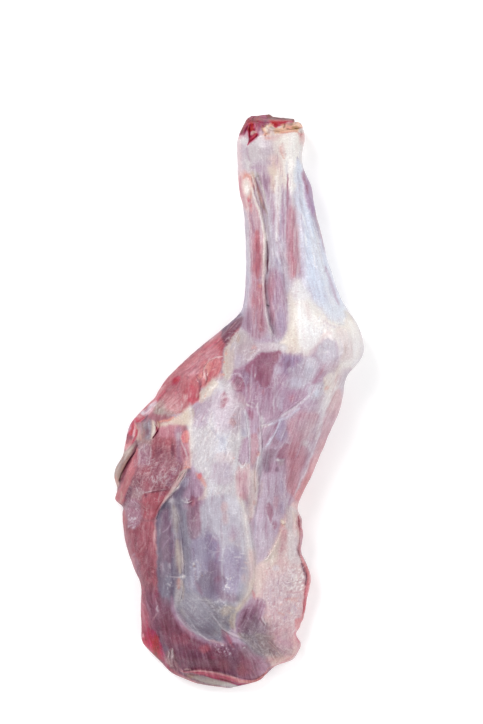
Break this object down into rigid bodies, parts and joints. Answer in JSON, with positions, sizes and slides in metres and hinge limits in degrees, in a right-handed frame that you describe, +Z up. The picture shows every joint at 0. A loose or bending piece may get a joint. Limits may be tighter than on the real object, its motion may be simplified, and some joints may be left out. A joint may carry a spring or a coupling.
{
  "type": "raw veal leg",
  "caption": "Raw veal foreleg lying flat, broad shoulder with a narrow shank, cut across at the wrist where the forearm bone shows.",
  "frame": {"origin": "centre of the bounding box in X and Y, at its lowest level in Z, on the surface that the leg lies on", "axes": "+Y along the leg from the blade end to the cut wrist, +X towards the elbow, +Z up, out of the leg's outer side"},
  "size_m": [0.2604, 0.6039, 0.0873],
  "materials": {
    "flesh": "raw veal muscle under pale silvery membrane, moist",
    "bone": "raw bone with red marrow and cream gristle at its cut end"
  },
  "bodies": {
    "root": {"leg_flesh": "flesh", "forearm_bone": "bone"}
  },
  "joints": []
}
